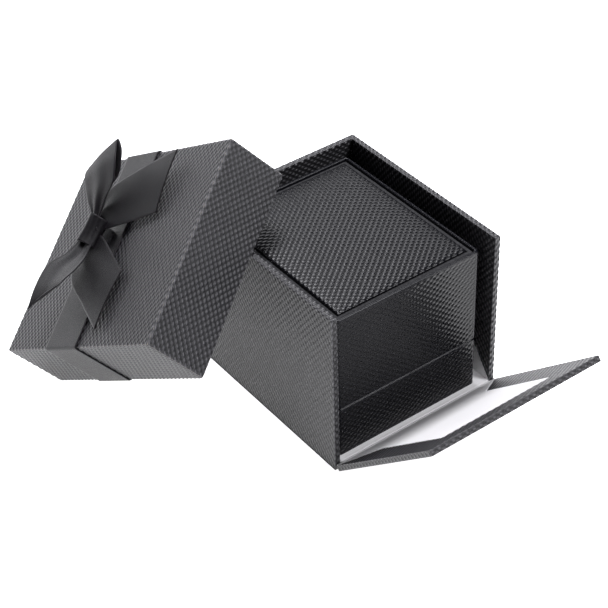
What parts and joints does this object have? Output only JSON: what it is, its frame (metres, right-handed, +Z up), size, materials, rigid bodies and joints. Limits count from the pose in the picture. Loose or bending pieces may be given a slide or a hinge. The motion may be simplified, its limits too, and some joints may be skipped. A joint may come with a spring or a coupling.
{
  "type": "jewelry gift box",
  "caption": "Embossed gift box with a drop-down front flap, lift-off ribboned lid leaning on its walls and a hinged ring box standing inside.",
  "frame": {"origin": "centre of the packer's underside, on the surface that it stands on", "axes": "+Z up, -Y towards the drop-down front flap, +X towards the packer's right wall"},
  "size_m": [0.1127, 0.1555, 0.0812],
  "materials": {
    "embossed_paper": "dark charcoal paper with a fine raised lattice, low sheen",
    "greyboard": "raw",
    "white_paper": "matt off-white",
    "satin_ribbon": "charcoal satin",
    "leatherette": "near-black embossed, semi-gloss",
    "moulded_shell": "moulded",
    "velvet": "short pile",
    "foam": "open cell",
    "spring_steel": "nickel plated"
  },
  "bodies": {
    "packer": {"base_sheet": "embossed_paper", "floor_board": "greyboard", "left_wall_board": "greyboard", "right_wall_board": "greyboard", "back_wall_board": "greyboard", "packer_wrap": "embossed_paper", "floor_lining": "white_paper", "left_wall_lining": "white_paper", "right_wall_lining": "white_paper", "back_wall_lining": "white_paper", "flap_hinge_paper": "embossed_paper"},
    "flap": {"flap_board": "greyboard", "flap_wrap": "embossed_paper", "flap_lining": "white_paper"},
    "outer_lid": {"lid_top_board": "greyboard", "lid_left_board": "greyboard", "lid_right_board": "greyboard", "lid_front_board": "greyboard", "lid_back_board": "greyboard", "lid_wrap": "embossed_paper", "lid_top_lining": "white_paper", "lid_skirt_lining": "white_paper", "ribbon_band": "satin_ribbon", "bow_glue_pad": "foam", "bow_knot": "satin_ribbon", "bow_loop_far": "satin_ribbon", "bow_loop_near": "satin_ribbon", "bow_tail_far": "satin_ribbon", "bow_tail_near": "satin_ribbon"},
    "ring_box": {"ring_base_cover": "leatherette", "ring_base_tray": "moulded_shell", "ring_base_sole": "greyboard", "ring_insert_foam": "foam", "ring_roll_front": "velvet", "ring_roll_back": "velvet", "hinge_leaf_base": "spring_steel", "hinge_pin": "spring_steel"},
    "ring_lid": {"ring_lid_cover": "leatherette", "ring_lid_shell": "moulded_shell", "ring_lid_foam": "foam", "ring_lid_panel": "leatherette", "ring_lid_puff": "satin_ribbon", "hinge_leaf_lid": "spring_steel"}
  },
  "joints": [
    {"name": "flap_fold", "type": "hinge", "parent": "packer", "child": "flap", "pos_m": [0, -0.03345, 0.00205], "axis": [1, 0, 0], "range_deg": [-48, 42]},
    {"name": "outer_lid_pull", "type": "slide", "parent": "packer", "child": "outer_lid", "axis": [-0.6225, 0.2995, 0.723], "range_m": [0, 0.21]},
    {"name": "ring_box_lift", "type": "slide", "parent": "packer", "child": "ring_box", "axis": [0, 0, 1], "range_m": [0, 0.2205]},
    {"name": "ring_lid_hinge", "type": "hinge", "parent": "ring_box", "child": "ring_lid", "pos_m": [-0.00145, 0.0279, 0.01895], "axis": [-1, 0, 0], "range_deg": [0, 92]}
  ],
  "couplings": [
    {"joint": "ring_box_lift", "follows": "outer_lid_pull", "ratio": 1.05},
    {"joint": "ring_lid_hinge", "follows": "outer_lid_pull", "rad_per_m": 7.6}
  ]
}
